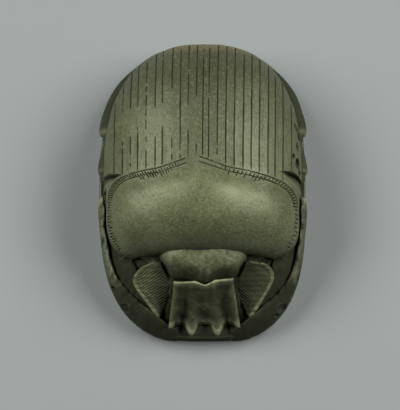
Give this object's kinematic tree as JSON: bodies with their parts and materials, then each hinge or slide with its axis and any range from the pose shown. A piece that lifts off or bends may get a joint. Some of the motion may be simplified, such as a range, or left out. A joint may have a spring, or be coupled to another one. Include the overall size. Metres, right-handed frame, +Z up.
{
  "type": "scarab amulet",
  "caption": "Carved green-grey stone scarab beetle on an oval base: ribbed wing cases, smooth collar, toothed head with striated cheeks, and legs folded along the rim. Flat underside.",
  "frame": {"origin": "middle of the flat underside", "axes": "+Z up through the back, +Y from the head towards the tail, +X towards the right side as seen from above with the head nearest"},
  "size_m": [0.042, 0.06, 0.024],
  "materials": {
    "stone": "satin"
  },
  "bodies": {
    "root": {"scarab": "stone"}
  },
  "joints": []
}
